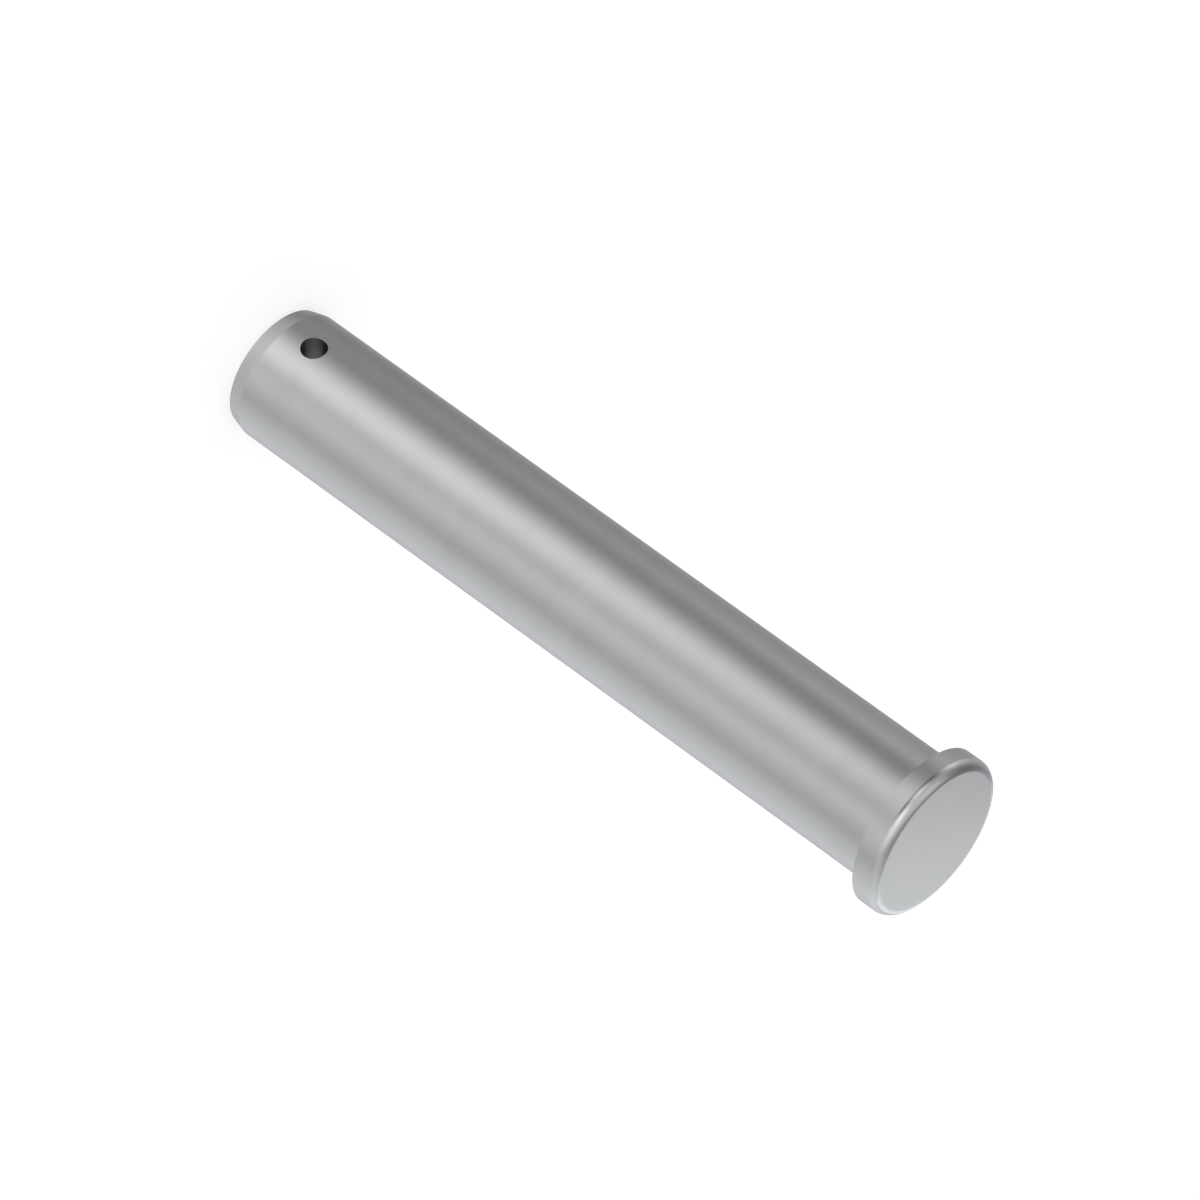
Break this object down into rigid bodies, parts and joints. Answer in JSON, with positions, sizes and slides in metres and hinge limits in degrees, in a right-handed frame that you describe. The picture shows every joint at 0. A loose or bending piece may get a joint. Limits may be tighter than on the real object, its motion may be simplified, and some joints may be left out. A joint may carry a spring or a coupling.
{
  "type": "steering cylinder pin",
  "caption": "Headed steel clevis pin with a plain round shank, a thin flat head with a rounded rim, a tapered lead-in and a cross hole for a split pin.",
  "frame": {"origin": "centre of the flat plain end, which the pin stands on", "axes": "+Z along the pin from the plain end to the head; +Y along the cross hole; +X across both"},
  "size_m": [0.031, 0.031, 0.1549],
  "materials": {
    "steel": "smooth satin turned steel, bare and unworn"
  },
  "bodies": {
    "root": {"pin": "steel"}
  },
  "joints": []
}
